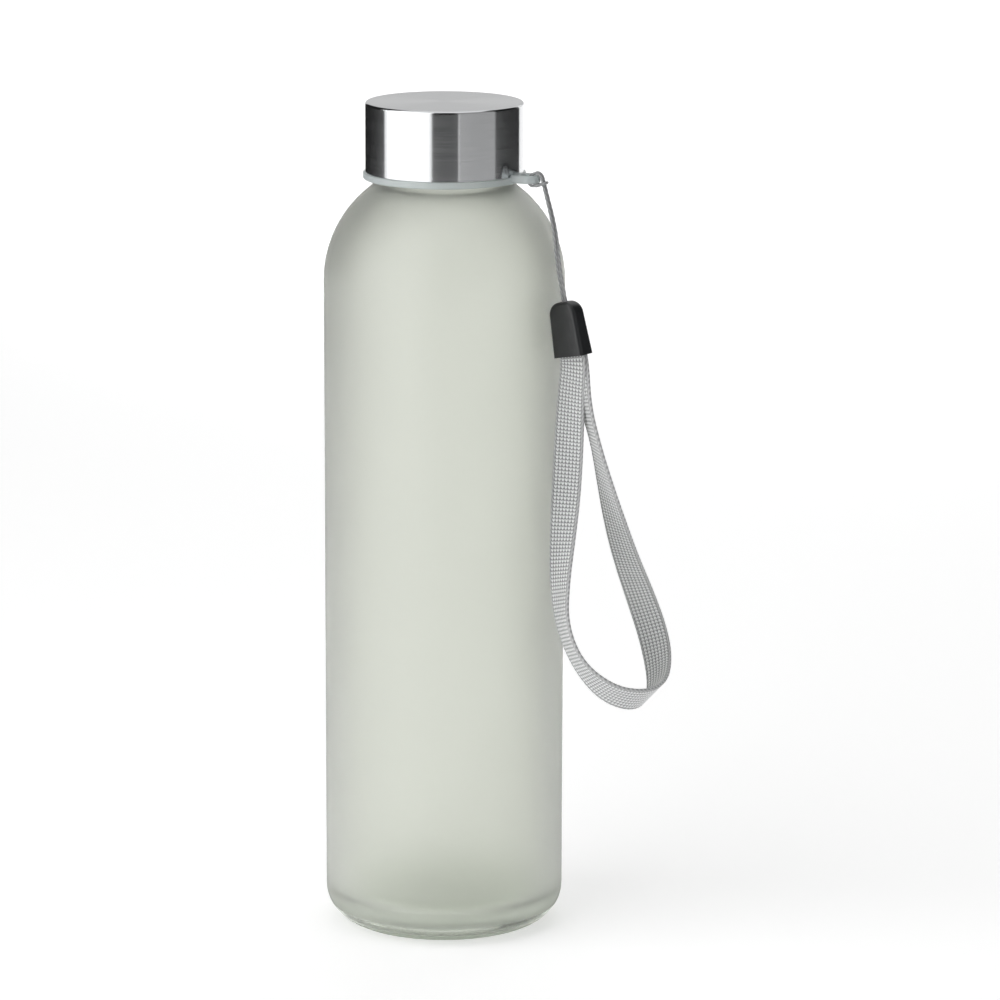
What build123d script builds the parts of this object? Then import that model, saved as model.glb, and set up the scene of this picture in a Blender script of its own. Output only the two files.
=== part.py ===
"""Glass water bottle with a screw cap and a wrist strap.

Millimetres, +Z up. The origin is the centre of the base, on the surface the bottle stands on.
The strap hangs from an eyelet on the cap, to the +X side and a little towards -Y.
"""
from build123d import *
from math import atan2, cos, degrees, pi, radians, sin, sqrt, tan
import os

# ---------------------------------------------------------------- driving dimensions
BODY_R = 32.5             # outside of the glass
WALL = 2.4                # glass, in the straight wall and the shoulder
LIP_R = 0.9               # round of the mouth's two edges
BASE_THICK = 6.0          # glass, over the foot ring
BASE_CORNER_R = 9.8       # outside round between the base and the wall
FOOT_INNER_R = 19.0       # the flat foot ring runs from here to the base corner
PUNT_RISE = 1.8           # hollow under the base
SHOULDER_Z = 178.2        # end of the straight wall
SHOULDER_R = 31.6         # radius of the shoulder's arc
NECK_R = 17.5             # neck, at the root of the thread
NECK_FILLET = 7.5         # hollow between shoulder and neck
THROAT_R = 3.0            # round inside, where the shoulder meets the bore
BORE_R = 14.8             # inside of the neck
MOUTH_Z = 222.2           # rim of the mouth

PITCH = 4.23              # six turns to the inch
THREAD_CREST_R = 18.7     # glass thread, outside
THREAD_ROOT_W = 2.1       # width of its ridge at the neck
THREAD_CREST_W = 1.1      # and at its crest
THREAD_SUNK = 0.25        # both ridges start this deep inside their wall, so the two fuse
GLASS_THREAD_Z = 210.2    # middle of its lower end
GLASS_TURNS = 1.6

CAP_R = 21.3              # outside of the steel
CAP_TOP_Z = 226.5
STEEL = 0.4               # sheet of the cap's shell
CAP_EDGE_R = 0.7          # outside round of its top edge
FLANGE_R = 21.85          # plastic ring that shows under the steel
FLANGE_Z = 205.9
FLANGE_THICK = 1.85
FLANGE_EDGE_R = 0.35
INSERT_R = 20.86          # plastic inside the steel
INSERT_BORE_R = 19.05     # root of the plastic's thread
INSERT_CREST_R = 17.85    # its crest
INSERT_ROOF = 2.0
INSERT_EDGE_R = 0.6       # round of its top edge, inside the steel
INSERT_TURNS = 1.4
INSERT_ROOT_W = 1.9       # width of the plastic's ridge at the skirt
INSERT_TIP_W = 0.9        # and at its crest
SEAT = 0.05               # between the steel and the plastic it is pressed on
GAP = 0.1                 # between pieces that touch on the real bottle and move apart here

GASKET_IN_R = 13.9
GASKET_OUT_R = 18.6
GASKET_THICK = 1.5
GASKET_EDGE_R = 0.3

LUG_BEARING = -27.0       # degrees from +X
LUG_TIP_R = 28.3          # reach of the eyelet from the bottle's axis
LUG_HALF_WIDTH = 3.4
LUG_Z = 206.3             # its underside, a little above the flange's
LUG_THICK = 2.1
LUG_EDGE_R = 0.5
EYE_R = 1.9               # hole of the eyelet
EYE_CENTRE_R = 24.9

CORD_D = 0.8
STRAND_GAP = 0.9          # between the centres of the two strands
STRAND_SPREAD = 0.15      # and how much further apart they bow between the hitch and the sleeve
STRAND_START = 1.7        # where the strands' own solids start, below the pivot
STRAND_STOP = 1.4         # and where they stop, above the sleeve
STRAND_SWAY = (0.9, 0.0)  # how far outwards they lie of a straight line, at a third and two thirds

SLEEVE_CENTRE = Vector(33.15, -18.7, 168.2)
SLEEVE_UP = Vector(-0.165, 0.10, 0.981).normalized()
SLEEVE_WIDTHWISE = Vector(0.788, -0.616, 0.0)
SLEEVE_W, SLEEVE_T, SLEEVE_H = 9.8, 5.6, 14.6
SLEEVE_TOP_W, SLEEVE_TOP_T = 8.4, 4.7      # it tapers towards the cord
SLEEVE_EDGE_R = 1.2
SLEEVE_SHOULDER_R = 3.2   # round of its top, seen across the width
SLEEVE_TOP_SPARE = 0.6    # the top's round starts this much wider than the taper there
SLEEVE_EYE_W = 2.8        # hole for the cord in its top
SLEEVE_EYE_T = 2.2

KNOT_TO_MOUTH = 3.7       # middle of the cord's knot, below the sleeve's top
KNOT_R = 1.25
KNOT_W = 3.4
KNOT_EDGE_R = 1.0
KNOT_ROOM = (4.2, 2.9, 3.0)       # hollow of the sleeve around the knot

STRAP_W = 8.3
STRAP_THICK = 1.0
STRAP_CLEAR = 0.12        # around the webbing inside the sleeve
STRAP_TUCK = 8.4          # webbing inside the sleeve
STRAP_END_GAP = 0.2       # between its ends and the bottom of their pocket

# The free loop of the strap: points of its middle line, each with the direction of its width.
STRAP_LOOP = [
    ((33.8, -19.7, 150.0), (0.82, -0.54, -0.12)),
    ((33.3, -18.9, 137.0), (0.92, -0.36, -0.05)),
    ((32.7, -19.4, 124.0), (0.92, -0.38, 0.02)),
    ((31.7, -22.5, 112.0), (0.80, -0.58, 0.12)),
    ((30.9, -26.5, 101.0), (0.58, -0.78, 0.20)),
    ((31.3, -30.0, 90.0), (0.32, -0.91, 0.26)),
    ((35.5, -32.2, 79.5), (0.30, -0.90, 0.32)),
    ((43.5, -32.2, 71.5), (0.50, -0.62, 0.55)),
    ((52.2, -27.5, 68.0), (0.55, -0.33, 0.77)),
    ((57.4, -18.5, 68.5), (0.60, -0.35, 0.72)),
    ((58.7, -8.5, 72.2), (0.78, -0.30, 0.55)),
    ((57.3, -1.5, 80.0), (0.94, -0.10, 0.32)),
    ((53.2, -3.0, 92.0), (0.94, -0.29, 0.17)),
    ((49.4, -9.5, 103.0), (0.87, -0.48, 0.02)),
    ((46.2, -15.2, 114.0), (0.74, -0.65, -0.10)),
    ((43.2, -19.8, 126.0), (0.50, -0.83, -0.20)),
    ((40.3, -22.0, 138.0), (0.28, -0.93, -0.22)),
    ((37.2, -20.9, 149.0), (0.38, -0.90, -0.16)),
]

# ---------------------------------------------------------------- worked out from those
SHOULDER_CENTRE_R = BODY_R - SHOULDER_R
INNER_R = BODY_R - WALL
INNER_SHOULDER_R = SHOULDER_R - WALL
FLANGE_TOP_Z = FLANGE_Z + FLANGE_THICK
ROOF_Z = CAP_TOP_Z - STEEL - SEAT - INSERT_ROOF      # underside of the insert's roof
LUG_OUT = Vector(cos(radians(LUG_BEARING)), sin(radians(LUG_BEARING)), 0)
LUG_SIDE = Vector(-LUG_OUT.Y, LUG_OUT.X, 0)


def lug_point(reach, side, z):
    """A point given by its reach from the axis, its offset across the lug, and its height."""
    return LUG_OUT * reach + LUG_SIDE * side + Vector(0, 0, z)


def revolved(profile):
    """A profile in the X-Z plane, turned about the bottle's axis."""
    return revolve(profile, axis=Axis.Z)


def ring(inner, outer, low, high):
    """A plain ring about the bottle's axis."""
    bottom = Pos(0, 0, low)
    tall = high - low
    align = (Align.CENTER, Align.CENTER, Align.MIN)
    return bottom * (Cylinder(outer, tall, align=align) - Cylinder(inner, tall, align=align))


# ---------------------------------------------------------------- screw threads
def thread_ridge(root_r, crest_r, root_width, crest_width, start_z, turns):
    """One trapezoid ridge wound round the axis, right-handed, from root_r to crest_r."""
    helix = Helix(pitch=PITCH, height=PITCH * turns, radius=root_r)
    start = helix @ 0
    frame = Plane(origin=start, x_dir=(1, 0, 0), z_dir=helix % 0)
    depth = crest_r - root_r
    corners = [(0, -root_width / 2), (depth, -crest_width / 2),
               (depth, crest_width / 2), (0, root_width / 2)]
    section = frame * make_face(Polyline(*corners, close=True))
    ridge = sweep(section, path=helix, is_frenet=True)
    return Pos(0, 0, start_z) * ridge


# ---------------------------------------------------------------- glass
def arc_point(centre_r, centre_z, radius, elevation):
    """A point of an arc in the X-Z plane, at an elevation in degrees."""
    return (centre_r + radius * cos(radians(elevation)), 0,
            centre_z + radius * sin(radians(elevation)))


def arc(centre_r, centre_z, radius, from_deg, to_deg):
    """An arc in the X-Z plane about (centre_r, centre_z)."""
    middle = (from_deg + to_deg) / 2
    points = [arc_point(centre_r, centre_z, radius, a) for a in (from_deg, middle, to_deg)]
    return ThreePointArc(*points)


def shoulder_end(radius, neck_r):
    """Elevation at which a shoulder arc of this radius reaches a neck of radius neck_r."""
    return degrees(atan2(sqrt(radius ** 2 - (neck_r - SHOULDER_CENTRE_R) ** 2),
                         neck_r - SHOULDER_CENTRE_R))


def glass_profile():
    """Half section of the bottle: outside from the punt to the mouth, then the inside back."""
    corner_r = BODY_R - BASE_CORNER_R
    out_end = shoulder_end(SHOULDER_R, NECK_R)
    in_end = shoulder_end(INNER_SHOULDER_R, BORE_R)
    out_top = arc_point(SHOULDER_CENTRE_R, SHOULDER_Z, SHOULDER_R, out_end)
    in_top = arc_point(SHOULDER_CENTRE_R, SHOULDER_Z, INNER_SHOULDER_R, in_end)
    inner_corner = BASE_CORNER_R - WALL
    floor_z = BASE_THICK
    edges = [
        ThreePointArc((0, 0, PUNT_RISE), (FOOT_INNER_R / 2, 0, PUNT_RISE * 0.75),
                      (FOOT_INNER_R, 0, 0)),
        Line((FOOT_INNER_R, 0, 0), (corner_r, 0, 0)),
        arc(corner_r, BASE_CORNER_R, BASE_CORNER_R, -90, 0),
        Line((BODY_R, 0, BASE_CORNER_R), (BODY_R, 0, SHOULDER_Z)),
        arc(SHOULDER_CENTRE_R, SHOULDER_Z, SHOULDER_R, 0, out_end),
        Line(out_top, (NECK_R, 0, MOUTH_Z - LIP_R)),
        arc(NECK_R - LIP_R, MOUTH_Z - LIP_R, LIP_R, 0, 90),
        Line((NECK_R - LIP_R, 0, MOUTH_Z), (BORE_R + LIP_R, 0, MOUTH_Z)),
        arc(BORE_R + LIP_R, MOUTH_Z - LIP_R, LIP_R, 90, 180),
        Line((BORE_R, 0, MOUTH_Z - LIP_R), in_top),
        arc(SHOULDER_CENTRE_R, SHOULDER_Z, INNER_SHOULDER_R, in_end, 0),
        Line((INNER_R, 0, SHOULDER_Z), (INNER_R, 0, floor_z + inner_corner)),
        arc(INNER_R - inner_corner, floor_z + inner_corner, inner_corner, 0, -90),
        Line((INNER_R - inner_corner, 0, floor_z), (0, 0, floor_z)),
        Line((0, 0, floor_z), (0, 0, PUNT_RISE)),
    ]
    face = make_face(edges)
    for corner, radius in ((out_top, NECK_FILLET), (in_top, THROAT_R)):
        meets = [v for v in face.vertices() if (Vector(*v) - Vector(*corner)).length < 0.01]
        face = fillet(meets, radius)
    return face


def glass_bottle():
    """Blown body with a screw finish moulded on its neck."""
    body = revolved(glass_profile())
    thread = thread_ridge(NECK_R - THREAD_SUNK, THREAD_CREST_R, THREAD_ROOT_W, THREAD_CREST_W,
                          GLASS_THREAD_Z, GLASS_TURNS)
    return body + thread


# ---------------------------------------------------------------- cap
def cap_shell():
    """Drawn stainless cup that covers the plastic."""
    low = FLANGE_TOP_Z + SEAT
    tall = CAP_TOP_Z - low
    align = (Align.CENTER, Align.CENTER, Align.MIN)
    outer = Pos(0, 0, low) * Cylinder(CAP_R, tall, align=align)
    outer = fillet(outer.edges().sort_by(Axis.Z)[-1], CAP_EDGE_R)
    inner = Pos(0, 0, low) * Cylinder(CAP_R - STEEL, tall - STEEL, align=align)
    inner = fillet(inner.edges().sort_by(Axis.Z)[-1], CAP_EDGE_R - STEEL)
    return outer - inner


def lug():
    """Flat eyelet that stands out from the flange, with a rounded bar as its end."""
    root_r = CAP_R + GAP
    nose_r = LUG_TIP_R - EYE_CENTRE_R
    plate = Pos(EYE_CENTRE_R, 0) * Circle(nose_r)
    plate += Pos((root_r + EYE_CENTRE_R) / 2, 0) * Rectangle(EYE_CENTRE_R - root_r,
                                                              2 * LUG_HALF_WIDTH)
    plate -= Pos(EYE_CENTRE_R, 0) * Circle(EYE_R)
    solid = extrude(plate, amount=LUG_THICK)
    rims = solid.edges().filter_by(GeomType.CIRCLE).filter_by(
        lambda e: abs(e.arc_center.X - EYE_CENTRE_R) < 0.01)
    solid = fillet(rims, LUG_EDGE_R)
    solid -= Cylinder(root_r, 3 * LUG_THICK)
    return Pos(0, 0, LUG_Z) * Rot(0, 0, LUG_BEARING) * solid


def cap_insert():
    """Moulded plastic: threaded skirt, roof, and the flange with its eyelet."""
    align = (Align.CENTER, Align.CENTER, Align.MIN)
    skirt = Pos(0, 0, FLANGE_Z) * Cylinder(INSERT_R, ROOF_Z + INSERT_ROOF - FLANGE_Z, align=align)
    skirt = fillet(skirt.edges().sort_by(Axis.Z)[-1], INSERT_EDGE_R)
    flange = Pos(0, 0, FLANGE_Z) * Cylinder(FLANGE_R, FLANGE_THICK, align=align)
    flange = fillet(flange.edges().filter_by(GeomType.CIRCLE), FLANGE_EDGE_R)
    hollow = Pos(0, 0, FLANGE_Z - 1) * Cylinder(INSERT_BORE_R, ROOF_Z - FLANGE_Z + 1, align=align)
    # The plastic's ridge runs midway between two turns of the glass's.
    thread = thread_ridge(INSERT_BORE_R + THREAD_SUNK, INSERT_CREST_R, INSERT_ROOT_W, INSERT_TIP_W,
                          GLASS_THREAD_Z + PITCH / 2, INSERT_TURNS)
    return skirt + flange + lug() - hollow + thread


def cap_gasket():
    """Soft ring between the insert's roof and the rim of the mouth."""
    high = ROOF_Z - GAP
    blank = ring(GASKET_IN_R, GASKET_OUT_R, high - GASKET_THICK, high)
    return fillet(blank.edges().filter_by(GeomType.CIRCLE), GASKET_EDGE_R)


# ---------------------------------------------------------------- cord
def cord_path(points, name):
    """Straight runs joined by tangent arcs, each as large as its two runs allow."""
    points = [Vector(*p) for p in points]
    radii = []
    for before, here, after in zip(points, points[1:], points[2:]):
        turn = radians((here - before).get_angle(after - here))
        shorter = min((here - before).length, (after - here).length)
        radii.append(0.45 * shorter / tan(turn / 2))
    print(name, "arc radii", [round(r, 1) for r in radii])
    return FilletPolyline(*points, radius=radii)


def tube(points, name):
    """A round tube of the cord's diameter along a route."""
    path = cord_path(points, name)
    start = Plane(origin=path @ 0, z_dir=path % 0)
    solid = sweep(start * Circle(CORD_D / 2), path=path)
    print(name, "volume", round(solid.volume, 3), "section x length",
          round(pi * CORD_D ** 2 / 4 * path.length, 3), "length", round(path.length, 1))
    return solid


def sleeve_plane():
    """The sleeve's own frame: X across its width, Z up along it."""
    widthwise = SLEEVE_WIDTHWISE - SLEEVE_UP * SLEEVE_WIDTHWISE.dot(SLEEVE_UP)
    return Plane(origin=SLEEVE_CENTRE, x_dir=widthwise, z_dir=SLEEVE_UP)


def in_sleeve(x, y, z):
    """A point of the sleeve's frame, in the bottle's."""
    return sleeve_plane().from_local_coords(Vector(x, y, z))


# Loop of the hitch round the eyelet's bar: reach, side and height of each point.
HITCH = [
    (30.0, -0.45, 204.9),
    (29.05, -0.45, 208.5),
    (27.4, -0.75, 209.3),
    (25.6, -0.95, 207.9),
    (25.8, -1.3, 205.7),
    (28.5, -1.6, 205.75),
    (30.4, -1.1, 206.6),
    (30.4, 1.1, 206.6),
    (28.5, 1.6, 205.75),
    (25.8, 1.3, 205.7),
    (25.6, 0.95, 207.9),
    (27.4, 0.75, 209.3),
    (29.05, 0.45, 208.5),
    (30.0, 0.45, 204.9),
]
PIVOT = lug_point(30.0, 0, 204.9)                # where the strands leave the hitch
SLEEVE_MOUTH = in_sleeve(0, 0, SLEEVE_H / 2)      # where they go into the sleeve


def cord_hitch():
    """The cord's bight, hitched round the bar of the eyelet."""
    return tube([lug_point(*p) for p in HITCH], "cord_hitch")


def strand(side):
    """One of the two strands between the hitch and the sleeve."""
    across = LUG_SIDE * (side * STRAND_GAP / 2)
    into = in_sleeve(side * STRAND_GAP / 2, 0, SLEEVE_H / 2 + STRAND_STOP)
    top = PIVOT + (into - PIVOT).normalized() * STRAND_START + across
    bow = LUG_SIDE * (STRAND_SPREAD * side)
    third = top + (into - top) / 3 + bow + LUG_OUT * STRAND_SWAY[0]
    two_thirds = top + (into - top) * 2 / 3 + bow + LUG_OUT * STRAND_SWAY[1]
    return tube([top, third, two_thirds, into], "strand")


def cord_strands():
    """Both strands of the doubled cord."""
    return Compound(children=[strand(-1), strand(1)])


def cord_end_knot():
    """The cord's ends inside the sleeve: two short tails into one tied knot."""
    frame = sleeve_plane()
    knot = Cylinder(KNOT_R, KNOT_W, rotation=(0, 90, 0))
    knot = fillet(knot.edges().filter_by(GeomType.CIRCLE), KNOT_EDGE_R)
    tails = Part()
    align = (Align.CENTER, Align.CENTER, Align.MIN)
    for side in (-1, 1):
        tails += Pos(side * STRAND_GAP / 2, 0, 0) * Cylinder(CORD_D / 2, KNOT_TO_MOUTH, align=align)
    return frame * Pos(0, 0, SLEEVE_H / 2 - KNOT_TO_MOUTH) * (knot + tails)


# ---------------------------------------------------------------- strap
def strap_sleeve():
    """Moulded sleeve over the strap's two ends, with a hole in its top for the cord."""
    low = Pos(0, 0, -SLEEVE_H / 2) * RectangleRounded(SLEEVE_W, SLEEVE_T, SLEEVE_EDGE_R)
    high = Pos(0, 0, SLEEVE_H / 2) * RectangleRounded(SLEEVE_TOP_W, SLEEVE_TOP_T, SLEEVE_EDGE_R)
    block = loft([low, high], ruled=True)
    # The round top: a prism through the thickness, as wide as the sleeve, with round shoulders.
    outline = Rectangle(SLEEVE_TOP_W + SLEEVE_TOP_SPARE, SLEEVE_H)
    outline = fillet(outline.vertices().group_by(Axis.Y)[-1], SLEEVE_SHOULDER_R)
    outline += Pos(0, -SLEEVE_H / 4) * Rectangle(SLEEVE_W, SLEEVE_H / 2)
    prism = extrude(Plane.XZ * outline, amount=SLEEVE_T, both=True)
    block = block & prism
    pocket_w = STRAP_W + 2 * STRAP_CLEAR
    pocket_t = 2 * STRAP_THICK + 3 * STRAP_CLEAR
    align = (Align.CENTER, Align.CENTER, Align.MIN)
    pocket = Pos(0, 0, -SLEEVE_H / 2) * Box(pocket_w, pocket_t, STRAP_TUCK + STRAP_END_GAP, align=align)
    knot_room = Pos(0, 0, SLEEVE_H / 2 - KNOT_TO_MOUTH) * Box(*KNOT_ROOM)
    eye = Pos(0, 0, SLEEVE_H / 2 - KNOT_TO_MOUTH) * SlotOverall(SLEEVE_EYE_W, SLEEVE_EYE_T)
    cord_hole = extrude(eye, amount=KNOT_TO_MOUTH + 1)
    return sleeve_plane() * (block - pocket - knot_room - cord_hole)


def strap_line():
    """Middle line of the whole strap: its points, each with its width direction.

    Both ends lie in the sleeve, one on the other. Between the points the line is the
    smooth curve that touches the middle of every run.
    """
    frame = sleeve_plane()
    widthwise = frame.x_dir
    layer = (STRAP_THICK + STRAP_CLEAR) / 2
    tuck = -SLEEVE_H / 2 + STRAP_TUCK
    mouth = -SLEEVE_H / 2
    straight = (tuck, mouth + 0.5, mouth - 2.5)
    front = [(in_sleeve(0, -layer, z), widthwise) for z in straight]
    back = [(in_sleeve(0, layer, z), widthwise) for z in reversed(straight)]
    loop = [(Vector(*point), Vector(*width)) for point, width in STRAP_LOOP]
    return front + loop + back


def smooth_stations(line):
    """Points of the smooth curve, with its direction and the strap's width direction there."""
    first, second = line[0], line[1]
    stations = [(first[0], second[0] - first[0], first[1])]
    for before, here, after in zip(line, line[1:], line[2:]):
        arrive = (before[0] + here[0]) / 2
        leave = (here[0] + after[0]) / 2
        if before is not first:
            stations.append((arrive, here[0] - before[0], before[1] + here[1]))
        stations.append(((arrive + here[0] * 2 + leave) / 4, leave - arrive, here[1]))
    last, second_last = line[-1], line[-2]
    stations.append((last[0], last[0] - second_last[0], last[1]))
    return stations


def strap_webbing():
    """Flat woven strap: one length, looped, with its width turned from station to station."""
    sections = []
    for point, along, width in smooth_stations(strap_line()):
        across = width - along.normalized() * width.dot(along.normalized())
        frame = Plane(origin=point, x_dir=across, z_dir=along)
        sections.append(frame * Rectangle(STRAP_W, STRAP_THICK))
    solid = loft([s.face() for s in sections], ruled=True)
    centres = [s.face().center() for s in sections]
    length = sum((b - a).length for a, b in zip(centres, centres[1:]))
    print("strap length", round(length, 1), "volume", round(solid.volume, 1),
          "section x length", round(STRAP_W * STRAP_THICK * length, 1))
    return solid


# ---------------------------------------------------------------- all pieces
def write(name, shape):
    export_step(shape, f"parts/{name}.step")


os.makedirs("parts", exist_ok=True)
write("glass_bottle", glass_bottle())
write("cap_shell", cap_shell())
write("cap_insert", cap_insert())
write("cap_gasket", cap_gasket())
write("cord_hitch", cord_hitch())
write("cord_strands", cord_strands())
write("cord_end_knot", cord_end_knot())
write("strap_sleeve", strap_sleeve())
write("strap_webbing", strap_webbing())
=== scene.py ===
"""Frosted glass water bottle with a steel screw cap and a woven wrist strap."""
import math

import bpy
import numpy as np
from mathutils import Matrix, Vector


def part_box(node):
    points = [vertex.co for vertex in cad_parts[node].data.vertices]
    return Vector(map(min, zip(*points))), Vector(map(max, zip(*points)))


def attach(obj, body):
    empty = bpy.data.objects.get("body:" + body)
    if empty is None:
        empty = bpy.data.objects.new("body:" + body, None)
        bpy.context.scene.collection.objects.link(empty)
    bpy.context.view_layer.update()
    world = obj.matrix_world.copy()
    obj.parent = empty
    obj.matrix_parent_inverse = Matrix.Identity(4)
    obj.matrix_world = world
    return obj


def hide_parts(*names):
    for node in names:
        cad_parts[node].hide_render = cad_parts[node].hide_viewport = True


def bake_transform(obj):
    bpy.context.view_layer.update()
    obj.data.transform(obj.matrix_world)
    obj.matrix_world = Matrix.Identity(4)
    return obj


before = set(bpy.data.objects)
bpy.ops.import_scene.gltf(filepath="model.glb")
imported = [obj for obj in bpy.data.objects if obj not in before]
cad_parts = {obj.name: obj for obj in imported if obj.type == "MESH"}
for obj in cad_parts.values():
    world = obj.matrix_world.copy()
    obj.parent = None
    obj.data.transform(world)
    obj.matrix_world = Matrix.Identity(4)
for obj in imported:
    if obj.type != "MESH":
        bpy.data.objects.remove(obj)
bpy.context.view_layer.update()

MM = 0.001

# ---------------------------------------------------------------- sizes taken from the frame
GLASS_LOW, GLASS_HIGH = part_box("glass_bottle")
SHELL_LOW, SHELL_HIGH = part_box("cap_shell")

BODY_R = GLASS_HIGH.x                     # outside of the glass
WALL = 2.4 * MM
BASE_THICK = 6.0 * MM
SHOULDER_Z = 178.2 * MM
SHOULDER_R = 31.6 * MM

CAP_TOP_Z = SHELL_HIGH.z

LUG_BEARING = math.radians(-27.0)
LUG_OUT = Vector((math.cos(LUG_BEARING), math.sin(LUG_BEARING), 0))
LUG_SIDE = Vector((-LUG_OUT.y, LUG_OUT.x, 0))

CORD_D = 0.8 * MM
STRAND_GAP = 0.9 * MM
STRAND_SPREAD = 0.15 * MM
STRAND_START = 1.7 * MM
STRAND_STOP = 1.4 * MM
STRAND_SWAY = 0.9 * MM
PIVOT_REACH, PIVOT_Z = 30.0, 204.9

SLEEVE_CENTRE = Vector((33.15, -18.7, 168.2)) * MM
SLEEVE_UP = Vector((-0.165, 0.10, 0.981)).normalized()
SLEEVE_WIDTHWISE = Vector((0.788, -0.616, 0.0))
SLEEVE_W, SLEEVE_T, SLEEVE_H = 9.8 * MM, 5.6 * MM, 14.6 * MM
SLEEVE_TOP_W, SLEEVE_TOP_T = 8.4 * MM, 4.7 * MM
SLEEVE_SHOULDER_R = 3.2 * MM
SLEEVE_EDGE_R = 1.1 * MM

STRAP_W = 8.3 * MM
STRAP_THICK = 1.0 * MM
STRAP_CLEAR = 0.12 * MM
STRAP_TUCK = 8.4 * MM
STITCH = 1.0 * MM                         # pitch of the webbing's ribs and of its rows
RIBS = 7                                  # columns of stitches across the webbing
RELIEF = 0.11 * MM                        # half the height of a stitch
CLOTH_SHARE = 0.80                        # of the strap's thickness, at the foot of the stitches

# The cord's turn inside the sleeve: half its width, and its depth below the sleeve's top.
THROAT = (STRAND_GAP / 2, 1.4 * MM)
BELLY = (1.25 * MM, 2.9 * MM)
TOE = (1.0 * MM, 4.7 * MM)

# The free loop of the strap: points of its middle line, in millimetres, each with the
# direction of its width.
STRAP_LOOP = [
    ((33.8, -19.7, 150.0), (0.82, -0.54, -0.12)),
    ((33.3, -18.9, 137.0), (0.92, -0.36, -0.05)),
    ((32.7, -19.4, 124.0), (0.92, -0.38, 0.02)),
    ((31.7, -22.5, 112.0), (0.80, -0.58, 0.12)),
    ((30.9, -26.5, 101.0), (0.58, -0.78, 0.20)),
    ((31.3, -30.0, 90.0), (0.32, -0.91, 0.26)),
    ((35.5, -32.2, 79.5), (0.30, -0.90, 0.32)),
    ((43.5, -32.2, 71.5), (0.50, -0.62, 0.55)),
    ((52.2, -27.5, 68.0), (0.55, -0.33, 0.77)),
    ((57.4, -18.5, 68.5), (0.60, -0.35, 0.72)),
    ((58.7, -8.5, 72.2), (0.78, -0.30, 0.55)),
    ((57.3, -1.5, 80.0), (0.94, -0.10, 0.32)),
    ((53.2, -3.0, 92.0), (0.94, -0.29, 0.17)),
    ((49.4, -9.5, 103.0), (0.87, -0.48, 0.02)),
    ((46.2, -15.2, 114.0), (0.74, -0.65, -0.10)),
    ((43.2, -19.8, 126.0), (0.50, -0.83, -0.20)),
    ((40.3, -22.0, 138.0), (0.28, -0.93, -0.22)),
    ((37.2, -20.9, 149.0), (0.38, -0.90, -0.16)),
]

# The cord's hitch round the eyelet: reach from the axis, side and height, in millimetres.
HITCH = [
    (30.0, -0.45, 204.9),
    (29.05, -0.45, 208.5),
    (27.4, -0.75, 209.3),
    (25.6, -0.95, 207.9),
    (25.8, -1.3, 205.7),
    (28.5, -1.6, 205.75),
    (30.4, -1.1, 206.6),
    (30.4, 1.1, 206.6),
    (28.5, 1.6, 205.75),
    (25.8, 1.3, 205.7),
    (25.6, 0.95, 207.9),
    (27.4, 0.75, 209.3),
    (29.05, 0.45, 208.5),
    (30.0, 0.45, 204.9),
]


# ---------------------------------------------------------------- camera
def make_camera():
    """A long lens, a little above the bottle, with the bottle left of the middle."""
    distance, height = 1300 * MM, 400.5 * MM
    pitch, yaw, roll = 0.2144, -0.01165, 0.0029
    data = bpy.data.cameras.new("camera")
    data.sensor_width = 36.0
    data.lens = 176.06
    camera = bpy.data.objects.new("camera", data)
    bpy.context.scene.collection.objects.link(camera)
    turn = (Matrix.Rotation(yaw, 4, "Z") @ Matrix.Rotation(math.pi / 2 - pitch, 4, "X")
            @ Matrix.Rotation(roll, 4, "Z"))
    camera.matrix_world = Matrix.Translation((0, -distance, height)) @ turn
    bpy.context.scene.camera = camera


make_camera()


# ---------------------------------------------------------------- shader maths
class Socket:
    """An output of a shader node that can be used in sums, products and comparisons."""

    def __init__(self, shader, socket):
        self.shader = shader
        self.socket = socket

    def maths(self, operation, *others, clamp=False):
        settings = {"operation": operation, "use_clamp": clamp}
        return self.shader.node("ShaderNodeMath", settings, *((self,) + others))

    def __add__(self, other):
        return self.maths("ADD", other)

    def __sub__(self, other):
        return self.maths("SUBTRACT", other)

    def __rsub__(self, other):
        return self.shader.node("ShaderNodeMath", {"operation": "SUBTRACT"}, other, self)

    def __mul__(self, other):
        return self.maths("MULTIPLY", other)

    def __truediv__(self, other):
        return self.maths("DIVIDE", other)

    def __pow__(self, other):
        return self.maths("POWER", other)

    __radd__ = __add__
    __rmul__ = __mul__

    def ramp(self, low, high):
        """0 below low and 1 above high, smooth between them; low may be above high."""
        return self.shader.node("ShaderNodeMapRange", {"interpolation_type": "SMOOTHSTEP"},
                                self, low, high, 0.0, 1.0)


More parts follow.
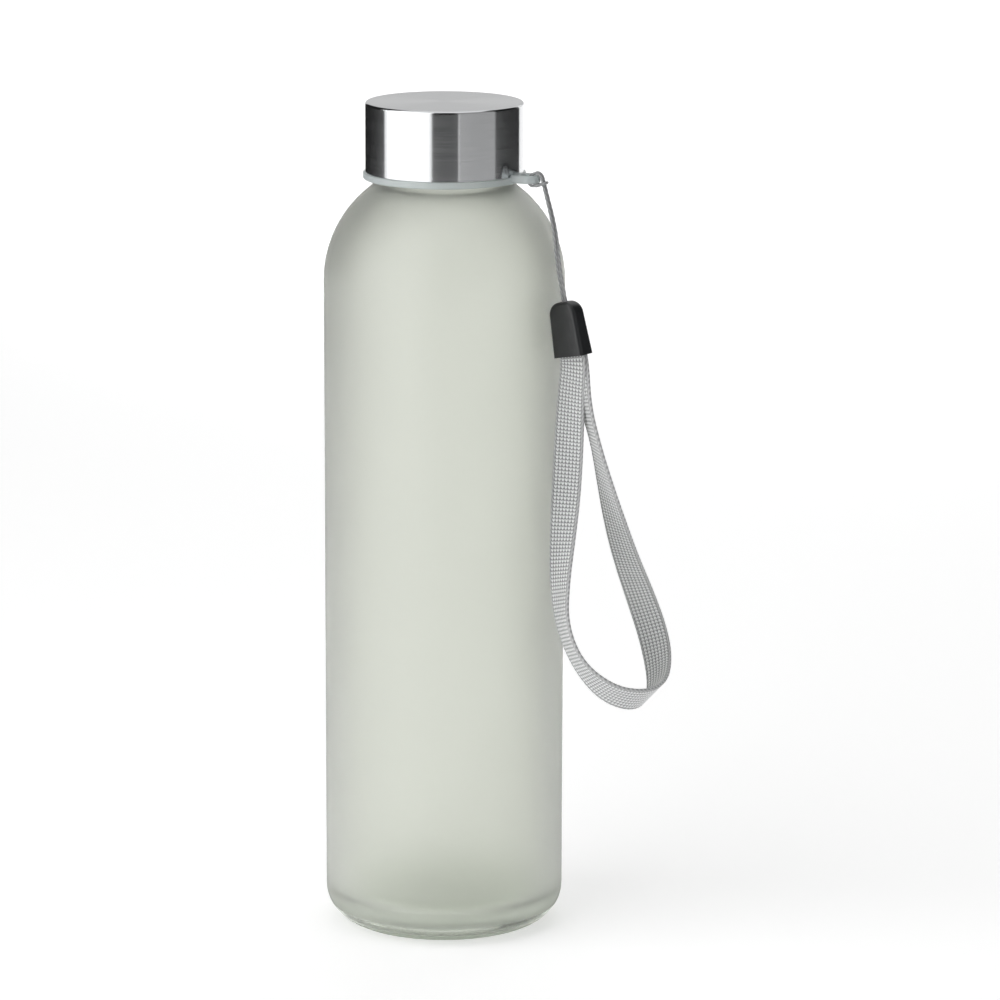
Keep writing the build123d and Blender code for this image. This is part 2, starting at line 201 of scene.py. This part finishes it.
class Shader:
    """One material's node tree, with one method that makes any node."""

    def __init__(self, name):
        self.material = bpy.data.materials.new(name)
        self.material.use_nodes = True
        self.tree = self.material.node_tree
        self.surface = self.tree.nodes["Principled BSDF"]
        self.place = self.node("ShaderNodeTexCoord", {}, output="Object")

    def node(self, kind, settings, *values, output=0, **named):
        """Makes a node, sets it, and gives its sockets values or links, by order or by name."""
        made = self.tree.nodes.new(kind)
        for setting, value in settings.items():
            setattr(made, setting, value)
        for key, value in list(enumerate(values)) + list(named.items()):
            if isinstance(key, str):
                key = key.replace("_", " ")
            if value is None:
                continue
            if isinstance(value, Socket):
                self.tree.links.new(value.socket, made.inputs[key])
            else:
                made.inputs[key].default_value = value
        return Socket(self, made.outputs[output])

    def split(self, vector):
        """The three parts of a vector."""
        made = self.tree.nodes.new("ShaderNodeSeparateXYZ")
        self.tree.links.new(vector.socket, made.inputs[0])
        return [Socket(self, part) for part in made.outputs]

    def join(self, x, y, z):
        return self.node("ShaderNodeCombineXYZ", {}, x, y, z)

    def noise(self, vector, scale, detail=2.0, roughness=0.5):
        return self.node("ShaderNodeTexNoise", {}, Vector=vector, Scale=scale, Detail=detail,
                         Roughness=roughness)

    def mix(self, factor, dark, light):
        """Colour between two colours, each a tuple or a socket."""
        made = self.tree.nodes.new("ShaderNodeMix")
        made.data_type = "RGBA"
        for index, value in ((0, factor), (6, dark), (7, light)):
            if isinstance(value, Socket):
                self.tree.links.new(value.socket, made.inputs[index])
            else:
                made.inputs[index].default_value = value
        return Socket(self, made.outputs[2])

    def attribute(self, name, output="Vector"):
        return self.node("ShaderNodeAttribute", {"attribute_name": name}, output=output)

    def bump(self, height, distance, strength=1.0):
        return self.node("ShaderNodeBump", {}, Height=height, Distance=distance,
                         Strength=strength)

    def set(self, **values):
        """Sets or links inputs of the surface shader; words are joined with underscores."""
        for key, value in values.items():
            socket = self.surface.inputs[key.replace("_", " ")]
            if isinstance(value, Socket):
                self.tree.links.new(value.socket, socket)
            else:
                socket.default_value = value
        return self.material


def rgb(red, green, blue):
    return (red, green, blue, 1.0)


# ---------------------------------------------------------------- materials
def frosted_glass():
    """Pale green soda glass: etched and matte outside, smooth inside."""
    shader = Shader("frosted_glass")
    x, y, z = shader.split(shader.place)
    reach = (x * x + y * y) ** 0.5
    over = (z - SHOULDER_Z).maths("MAXIMUM", 0.0)
    out = reach - (BODY_R - SHOULDER_R)
    from_middle = (over * over + out * out) ** 0.5
    outside = from_middle.ramp(SHOULDER_R - 0.6 * WALL, SHOULDER_R - 0.4 * WALL)
    outside = outside.maths("MAXIMUM", z.ramp(0.6 * BASE_THICK, 0.3 * BASE_THICK))
    cloud = shader.noise(shader.place, 35.0, 3.0)
    grain = shader.noise(shader.place, 5200.0, 2.0, 0.6)
    # Painted shade: over the lowest 11 mm the colour goes to a dark green, where the foot meets the
    # floor. The cloud only adds a faint random tone.
    low = z.ramp(0.011, 0.001)
    colour = shader.mix(low * 0.95 + cloud * 0.04, rgb(0.94, 0.955, 0.905), rgb(0.50, 0.56, 0.45))
    rough = outside * (0.42 + cloud * 0.04 + grain * 0.04) + 0.04
    return shader.set(Base_Color=colour, Roughness=rough, IOR=1.5, Transmission_Weight=0.88,
                      Normal=shader.bump(grain, 0.00002, 0.2))


def brushed_steel():
    """Stainless sheet: lines round the side and in rings on the top."""
    shader = Shader("brushed_steel")
    x, y, z = shader.split(shader.place)
    reach = (x * x + y * y) ** 0.5
    bearing = shader.node("ShaderNodeMath", {"operation": "ARCTAN2"}, y, x)
    side_lines = shader.noise(shader.join(bearing * 0.9, z * 5200.0, 0.0), 1.0, 4.0, 0.65)
    top_lines = shader.noise(shader.join(bearing * 1.6, reach * 5200.0, 3.0), 1.0, 4.0, 0.65)
    on_top = z.ramp(CAP_TOP_Z - 0.0006, CAP_TOP_Z - 0.0002)
    lines = side_lines + (top_lines - side_lines) * on_top
    colour = shader.mix(lines, rgb(0.60, 0.61, 0.62), rgb(0.74, 0.75, 0.76))
    return shader.set(Base_Color=colour, Metallic=1.0, Roughness=0.10 + lines * 0.12,
                      Anisotropic=0.85, Anisotropic_Rotation=0.25,
                      Normal=shader.bump(lines, 0.000008, 0.3))


def clear_plastic():
    """Natural polypropylene: milky, a little blue, with a moulded gloss."""
    shader = Shader("clear_plastic")
    cloud = shader.noise(shader.place, 120.0, 2.0)
    grain = shader.noise(shader.place, 2600.0, 2.0)
    colour = shader.mix(cloud, rgb(0.72, 0.79, 0.79), rgb(0.82, 0.87, 0.87))
    return shader.set(Base_Color=colour, Roughness=0.26 + grain * 0.06, IOR=1.49,
                      Transmission_Weight=0.5, Normal=shader.bump(cloud, 0.00001, 0.05))


def silicone():
    shader = Shader("silicone")
    cloud = shader.noise(shader.place, 400.0, 3.0)
    colour = shader.mix(cloud, rgb(0.72, 0.72, 0.70), rgb(0.80, 0.80, 0.78))
    return shader.set(Base_Color=colour, Roughness=0.55 + cloud * 0.1,
                      Normal=shader.bump(cloud, 0.00002, 0.2))


def black_plastic():
    """Moulded black plastic with a fine satin grain."""
    shader = Shader("black_plastic")
    grain = shader.noise(shader.place, 3000.0, 3.0, 0.6)
    cloud = shader.noise(shader.place, 220.0, 2.0)
    colour = shader.mix(cloud, rgb(0.012, 0.013, 0.014), rgb(0.028, 0.029, 0.031))
    return shader.set(Base_Color=colour, Roughness=0.28 + grain * 0.12,
                      Normal=shader.bump(grain, 0.00003, 0.35))


def grey_cord():
    """Twisted polyester cord; the pattern follows its own 'lay' attribute."""
    shader = Shader("grey_cord")
    ply, along, side = shader.split(shader.attribute("lay"))
    fibres = shader.noise(shader.join(ply * 9.0, along * 900.0, side), 1.0, 3.0, 0.6)
    # Painted shade: the grooves between the plies are darkened and the crowns of the plies
    # lightened. The fibre noise is the cord's own mottling.
    painted_groove_shade = (ply * 6.2832).maths("COSINE") * 0.5 + 0.5
    colour = shader.mix(fibres * 0.5 + painted_groove_shade * 0.5, rgb(0.20, 0.205, 0.21), rgb(0.50, 0.505, 0.51))
    return shader.set(Base_Color=colour, Roughness=0.6, Sheen_Weight=0.3,
                      Normal=shader.bump(fibres, 0.00004, 0.5))


def grey_webbing():
    """Ribbed polyester webbing; the pattern follows its own 'cloth' attribute, in stitches."""
    shader = Shader("grey_webbing")
    across, along, height = shader.split(shader.attribute("cloth"))
    fibres = shader.noise(shader.join(across * 6.0, along * 4.0, 0.0), 1.0, 3.0, 0.6)
    tone = shader.noise(shader.join(across * 0.4, along * 0.12, 4.0), 1.0, 2.0)
    # Painted shade: the stitches and edge cords are light on their crowns and dark down in the gaps
    # between them. The fibre and tone noise are the yarn's own mottling.
    painted_stitch_shade = height.ramp(-0.7, 0.75)
    shade = painted_stitch_shade * 0.86 + fibres * 0.12 + tone * 0.10
    colour = shader.mix(shade.maths("ADD", -0.05, clamp=True), rgb(0.17, 0.175, 0.178),
                        rgb(0.92, 0.925, 0.93))
    return shader.set(Base_Color=colour, Roughness=0.6, Sheen_Weight=0.15,
                      Normal=shader.bump(fibres, 0.00006, 0.5))


GLASS = frosted_glass()
STEEL_SHEET = brushed_steel()
PLASTIC = clear_plastic()
SILICONE = silicone()
BLACK = black_plastic()
CORD = grey_cord()
WEBBING = grey_webbing()


# ---------------------------------------------------------------- modelling tools
def select_only(piece):
    bpy.ops.object.select_all(action="DESELECT")
    piece.select_set(True)
    bpy.context.view_layer.objects.active = piece


def new_piece(name, material):
    """Names the object just added and gives it its material."""
    piece = bpy.context.view_layer.objects.active
    piece.name = name
    piece.data.name = name
    piece.data.materials.clear()
    piece.data.materials.append(material)
    return piece


def apply_place(piece):
    select_only(piece)
    bpy.ops.object.transform_apply(location=True, rotation=True, scale=True)


def mend(piece):
    """Merges doubles and turns all faces outwards."""
    select_only(piece)
    bpy.ops.object.mode_set(mode="EDIT")
    bpy.ops.mesh.select_all(action="SELECT")
    bpy.ops.mesh.remove_doubles(threshold=1e-6)
    bpy.ops.mesh.normals_make_consistent(inside=False)
    bpy.ops.object.mode_set(mode="OBJECT")


def smooth(piece, angle=35):
    select_only(piece)
    bpy.ops.object.shade_smooth_by_angle(angle=math.radians(angle))


def modify(piece, kind, **settings):
    """Adds a modifier, sets it and applies it."""
    select_only(piece)
    modifier = piece.modifiers.new(kind.lower(), kind)
    for setting, value in settings.items():
        setattr(modifier, setting, value)
    bpy.ops.object.modifier_apply(modifier=modifier.name)


# ---------------------------------------------------------------- cord and strap
def route_line(name, points, steps=24):
    """Points along the smooth line of a route, in the frame's metres."""
    curve = bpy.data.curves.new(name, "CURVE")
    curve.dimensions = "3D"
    curve.resolution_u = steps
    spline = curve.splines.new("NURBS")
    spline.points.add(len(points) - 1)
    for knot, point in zip(spline.points, points):
        knot.co = (*point, 1.0)
    spline.order_u = 3
    spline.use_endpoint_u = True
    helper = bpy.data.objects.new(name, curve)
    bpy.context.scene.collection.objects.link(helper)
    mesh = bpy.data.meshes.new_from_object(helper)
    places = np.array([vertex.co for vertex in mesh.vertices], float)
    bpy.data.objects.remove(helper)
    bpy.data.curves.remove(curve)
    bpy.data.meshes.remove(mesh)
    return places


def lengths(places):
    """Length along a line at each of its points."""
    return np.concatenate([[0.0], np.cumsum(np.linalg.norm(np.diff(places, axis=0), axis=1))])


def evenly(places, step, *others):
    """The line, and what goes with its points, at even steps of its length."""
    along = lengths(places)
    count = max(2, int(round(along[-1] / step)) + 1)
    stops = np.linspace(0, along[-1], count)
    even = [np.stack([np.interp(stops, along, values[:, i]) for i in range(3)], axis=1)
            for values in (places,) + others]
    return [stops] + even


def unit(vectors):
    return vectors / np.linalg.norm(vectors, axis=-1, keepdims=True)


def directions(places):
    return unit(np.gradient(places, axis=0))


def tube_mesh(name, points, faces, material, attribute, values):
    """A mesh piece from rows of points, with a vector attribute on its points."""
    mesh = bpy.data.meshes.new(name)
    mesh.from_pydata(points.tolist(), [], faces)
    layer = mesh.attributes.new(attribute, "FLOAT_VECTOR", "POINT")
    layer.data.foreach_set("vector", values.astype(np.float32).ravel())
    mesh.materials.append(material)
    mesh.shade_smooth()
    piece = bpy.data.objects.new(name, mesh)
    bpy.context.scene.collection.objects.link(piece)
    return piece


def wound_faces(rows, columns):
    """Faces of a closed tube of rows x columns points, with a cap on each end."""
    faces = []
    for row in range(rows - 1):
        for column in range(columns):
            right = (column + 1) % columns
            low, high = row * columns, (row + 1) * columns
            faces.append((low + column, low + right, high + right, high + column))
    faces.append(tuple(range(columns - 1, -1, -1)))
    faces.append(tuple(range((rows - 1) * columns, rows * columns)))
    return faces


def twisted_cord(name, points, tone):
    """A three-ply cord along a route."""
    plies, lay_length, around = 3, 1.9 * MM, 24
    along, places = evenly(route_line(name, points), 0.11 * MM)
    ahead = directions(places)
    side = np.zeros_like(places)
    start = Vector(ahead[0]).orthogonal().normalized()
    for i, direction in enumerate(ahead):
        start = (start - Vector(direction) * start.dot(Vector(direction))).normalized()
        side[i] = start
    up = np.cross(ahead, side)
    angle = np.arange(around) * 2 * math.pi / around
    ply = (plies * angle[None, :] / (2 * math.pi) + plies * along[:, None] / (lay_length * plies))
    bulge = np.abs(np.cos(math.pi * ply)) ** 0.8
    radius = CORD_D / 2 * (0.78 + 0.22 * bulge)
    rings = (places[:, None, :] + radius[:, :, None]
             * (np.cos(angle)[None, :, None] * side[:, None, :]
                + np.sin(angle)[None, :, None] * up[:, None, :]))
    values = np.stack([ply, np.broadcast_to(along[:, None], ply.shape),
                       np.full(ply.shape, tone)], axis=2)
    rows = len(places)
    piece = tube_mesh(name, rings.reshape(-1, 3), wound_faces(rows, around), CORD,
                      "lay", values.reshape(-1, 3))
    return piece, places, along[-1]


def lug_point(reach, side, height):
    return LUG_OUT * (reach * MM) + LUG_SIDE * (side * MM) + Vector((0, 0, height * MM))


def sleeve_matrix():
    """The sleeve's own frame: X across its width, Z up along it."""
    widthwise = (SLEEVE_WIDTHWISE - SLEEVE_UP * SLEEVE_WIDTHWISE.dot(SLEEVE_UP)).normalized()
    through = SLEEVE_UP.cross(widthwise)
    turn = Matrix((widthwise, through, SLEEVE_UP)).transposed().to_4x4()
    return Matrix.Translation(SLEEVE_CENTRE) @ turn


def in_sleeve(x, y, z):
    return sleeve_matrix() @ Vector((x, y, z))


def strand_points(side):
    """Middle points of one strand, from the hitch to the sleeve's top."""
    start = lug_point(PIVOT_REACH, 0, PIVOT_Z)
    across = LUG_SIDE * (side * STRAND_GAP / 2)
    into = in_sleeve(side * STRAND_GAP / 2, 0, SLEEVE_H / 2 + STRAND_STOP)
    top = start + (into - start).normalized() * STRAND_START + across
    bow = LUG_SIDE * (STRAND_SPREAD * side)
    third = top + (into - top) / 3 + bow + LUG_OUT * STRAND_SWAY
    return top, third, top + (into - top) * 2 / 3 + bow, into


def make_cord():
    """The doubled cord, in two pieces that meet at the middle of the strands."""
    left, right = strand_points(-1), strand_points(1)
    middle = [(strand[1] + strand[2]) / 2 for strand in (left, right)]
    hitch_points = ([middle[0], left[1]] + [lug_point(*p) for p in HITCH] + [right[1], middle[1]])
    throat, belly, toe = [[in_sleeve(side * x, 0, SLEEVE_H / 2 - depth) for side in (-1, 1)]
                          for x, depth in (THROAT, BELLY, TOE)]
    sleeve_points = [middle[0], left[2], left[3], throat[0], belly[0], toe[0],
                     toe[1], belly[1], throat[1], right[3], right[2], middle[1]]
    hitch, hitch_line, hitch_length = twisted_cord("cord_at_eyelet", hitch_points, 0.0)
    lower, lower_line, lower_length = twisted_cord("cord_at_sleeve", sleeve_points, 0.0)
    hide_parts("cord_hitch", "cord_strands")
    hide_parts("cord_end_knot")
    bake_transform(hitch)
    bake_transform(lower)


def strap_line():
    """Middle line of the whole strap: its points, each with its width direction."""
    widthwise = sleeve_matrix().to_3x3() @ Vector((1, 0, 0))
    layer = (STRAP_THICK + STRAP_CLEAR) / 2
    mouth = -SLEEVE_H / 2
    straight = (mouth + STRAP_TUCK, mouth + 0.5 * MM, mouth - 2.5 * MM)
    front = [(in_sleeve(0, -layer, z), widthwise) for z in straight]
    back = [(in_sleeve(0, layer, z), widthwise) for z in reversed(straight)]
    loop = [(Vector(point) * MM, Vector(width)) for point, width in STRAP_LOOP]
    return front + loop + back


def weave_height(u, v):
    """Height of the webbing, -1 to 1, at u ribs across and v rows along it.

    Every rib is a column of small V-shaped stitches, like a flat knitted braid."""
    aside = 2 * np.abs(u % 1 - 0.5)
    row = np.abs(np.sin(math.pi * (v + 0.45 * aside)))
    rib = np.sqrt(1 - 0.9 * aside ** 4)
    return 2 * row ** 0.7 * rib - 1


def make_strap():
    """One ribbon from end to end: ribs of V-shaped stitches, with a smooth cord along each edge."""
    line_points = strap_line()
    places = route_line("strap", [point for point, _ in line_points])
    widths = route_line("strap_width", [width for _, width in line_points])
    along, places, widths = evenly(places, STITCH / 5, widths)
    ahead = directions(places)
    across = unit(widths - ahead * np.sum(widths * ahead, axis=1, keepdims=True))
    through = np.cross(ahead, across)
    cloth_w = RIBS * STITCH
    edge_w = (STRAP_W - cloth_w) / 2
    inner = (np.arange(4 * RIBS + 1) / 4 - RIBS / 2) * STITCH
    round_edge = np.array([0.25, 0.6, 0.97])
    right = cloth_w / 2 + edge_w * round_edge
    u = np.concatenate([-right[::-1], inner, right])
    both = np.concatenate([u, u[::-1]])
    face = np.concatenate([np.ones(len(u)), -np.ones(len(u))])
    in_edge = np.clip((np.abs(both) - cloth_w / 2) / edge_w, 0, 1)
    on_edge = in_edge > 0.01
    u_ribs = both / STITCH + RIBS / 2
    v_rows = along / STITCH
    weave = weave_height(u_ribs[None, :], v_rows[:, None] + 0.5 * (face[None, :] < 0))
    bead = 0.25 * np.sin(2 * math.pi * (v_rows[:, None] / 1.5 + face[None, :] * in_edge[None, :]))
    height = np.where(on_edge[None, :], bead, weave)
    half = np.where(on_edge, STRAP_THICK / 2 * np.sqrt(1 - (2 * in_edge - 1) ** 2 * 0.93),
                    STRAP_THICK / 2 * CLOTH_SHARE)
    lift = face[None, :] * (half[None, :] + RELIEF * height)
    grid = (places[:, None, :] + across[:, None, :] * both[None, :, None]
            + through[:, None, :] * lift[:, :, None])
    values = np.stack([np.broadcast_to(np.where(on_edge, -5.0, u_ribs), height.shape),
                       np.broadcast_to(v_rows[:, None], height.shape), height], axis=2)
    rows, around = len(places), len(both)
    strap = tube_mesh("strap_weave", grid.reshape(-1, 3), wound_faces(rows, around), WEBBING,
                      "cloth", values.reshape(-1, 3))
    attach(strap, "strap")
    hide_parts("strap_webbing")


make_cord()
make_strap()


# ---------------------------------------------------------------- sleeve
def pick(piece, kind, test):
    """Selects the piece's faces or edges whose middle passes a test, and nothing else.

    The test is given the middle point and, for a face, its normal."""
    select_only(piece)
    bpy.ops.object.mode_set(mode="EDIT")
    bpy.ops.mesh.select_mode(type=kind)
    bpy.ops.mesh.select_all(action="DESELECT")
    bpy.ops.object.mode_set(mode="OBJECT")
    mesh = piece.data
    if kind == "FACE":
        for face in mesh.polygons:
            face.select = test(face.center, face.normal)
    else:
        for edge in mesh.edges:
            first, last = (mesh.vertices[v].co for v in edge.vertices)
            edge.select = test((first + last) / 2, (last - first).normalized())
    bpy.ops.object.mode_set(mode="EDIT")


def make_sleeve():
    """Tapered moulding with a round top, a pocket for the strap and an eye for the cord."""
    below = 4 * MM                        # cut off again, so that the mouth's rim stays square
    low, high = -SLEEVE_H / 2 - below, SLEEVE_H / 2
    bpy.ops.object.select_all(action="DESELECT")
    bpy.ops.mesh.primitive_cube_add(size=1)
    sleeve = new_piece("sleeve", BLACK)
    grow_w = (SLEEVE_W - SLEEVE_TOP_W) * below / SLEEVE_H
    grow_t = (SLEEVE_T - SLEEVE_TOP_T) * below / SLEEVE_H
    foot_w, foot_t = SLEEVE_W + grow_w, SLEEVE_T + grow_t
    sleeve.scale = (foot_w, foot_t, high - low)
    sleeve.location = (0, 0, (high + low) / 2)
    apply_place(sleeve)
    pick(sleeve, "FACE", lambda middle, normal: normal.z > 0.9)
    bpy.ops.transform.resize(value=(SLEEVE_TOP_W / foot_w, SLEEVE_TOP_T / foot_t, 1),
                             center_override=(0, 0, high))
    bpy.ops.object.mode_set(mode="OBJECT")
    pick(sleeve, "EDGE", lambda middle, along: middle.z > 0.9 * high and abs(along.y) > 0.9)
    bpy.ops.mesh.bevel(offset=SLEEVE_SHOULDER_R, segments=9, affect="EDGES")
    bpy.ops.object.mode_set(mode="OBJECT")
    modify(sleeve, "BEVEL", width=SLEEVE_EDGE_R, segments=6, limit_method="ANGLE",
           angle_limit=math.radians(40))
    bpy.ops.object.mode_set(mode="EDIT")
    bpy.ops.mesh.select_all(action="SELECT")
    bpy.ops.mesh.bisect(plane_co=(0, 0, -SLEEVE_H / 2), plane_no=(0, 0, -1), clear_outer=True,
                        use_fill=True)
    bpy.ops.object.mode_set(mode="OBJECT")
    wall = (SLEEVE_W - STRAP_W) / 2 - STRAP_CLEAR
    pocket_t = 2 * STRAP_THICK + 3 * STRAP_CLEAR
    pick(sleeve, "FACE", lambda middle, normal: normal.z < -0.9)
    bpy.ops.mesh.inset(thickness=wall)
    bpy.ops.transform.resize(value=(1, pocket_t / (SLEEVE_T - 2 * wall), 1),
                             center_override=(0, 0, -SLEEVE_H / 2))
    bpy.ops.mesh.extrude_region_move(TRANSFORM_OT_translate={"value": (0, 0, STRAP_TUCK)})
    bpy.ops.object.mode_set(mode="OBJECT")
    pick(sleeve, "FACE", lambda middle, normal: normal.z > 0.999 and middle.z > 0.99 * high)
    bpy.ops.mesh.inset(thickness=0.1 * MM)
    bpy.ops.transform.resize(value=(1.25, 0.95, 1), center_override=(0, 0, high))
    bpy.ops.mesh.extrude_region_move(TRANSFORM_OT_translate={"value": (0, 0, -0.25 * MM)})
    bpy.ops.transform.resize(value=(0.92, 0.92, 1), center_override=(0, 0, high))
    bpy.ops.mesh.extrude_region_move(TRANSFORM_OT_translate={"value": (0, 0, -4.6 * MM)})
    bpy.ops.object.mode_set(mode="OBJECT")
    sleeve.matrix_world = sleeve_matrix()
    apply_place(sleeve)
    mend(sleeve)
    smooth(sleeve)
    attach(sleeve, "strap")
    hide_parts("strap_sleeve")


make_sleeve()

# ---------------------------------------------------------------- carried-over pieces
for node, material in (("glass_bottle", GLASS), ("cap_shell", STEEL_SHEET),
                       ("cap_insert", PLASTIC), ("cap_gasket", SILICONE)):
    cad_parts[node].data.materials[0] = material


# ---------------------------------------------------------------- stage
def plain(name, colour, glow=0.0, roughness=0.9):
    shader = Shader(name)
    return shader.set(Base_Color=rgb(*colour), Roughness=roughness, Specular_IOR_Level=0.0,
                      Emission_Color=rgb(1, 1, 1), Emission_Strength=glow)


def make_floor():
    bpy.ops.object.select_all(action="DESELECT")
    bpy.ops.mesh.primitive_plane_add(size=12)
    floor = new_piece("floor", plain("floor", (0.70, 0.70, 0.70), 0.55))


def make_card(name, bearing_deg, spread_deg, glow, reach=0.9, low=-0.02, high=1.6):
    """An upright card round the bottle, seen only in reflections and as light or dark.

    The bearing is counted from the front (-Y), to the right."""
    bpy.ops.object.select_all(action="DESELECT")
    bearing = math.radians(bearing_deg)
    width = 2 * reach * math.tan(math.radians(spread_deg) / 2)
    bpy.ops.mesh.primitive_plane_add(size=1)
    card = new_piece(name, plain(name, (0.02, 0.02, 0.02), glow))
    card.scale = (width, high - low, 1)
    card.rotation_euler = (math.pi / 2, 0, bearing)
    card.location = (reach * math.sin(bearing), -reach * math.cos(bearing), (high + low) / 2)
    apply_place(card)
    card.visible_camera = False


def make_lights():
    world = bpy.data.worlds.new("studio")
    bpy.context.scene.world = world
    world.use_nodes = True
    world.node_tree.nodes["Background"].inputs["Color"].default_value = rgb(1, 1, 1)
    world.node_tree.nodes["Background"].inputs["Strength"].default_value = 1.0
    make_card("front_flag", 1, 38, 0.0, 0.86)
    make_card("left_softbox", -56, 69, 1.8)
    make_card("right_card", 50, 58, 0.36)
    make_card("top_glow", 180, 50, 0.62, low=0.2, high=0.95)
    make_card("right_flag", 108, 60, 0.0, 0.86)
    make_card("left_flag", -131, 70, 0.0, 0.86)


make_floor()
make_lights()
bpy.context.scene.view_settings.view_transform = "Standard"
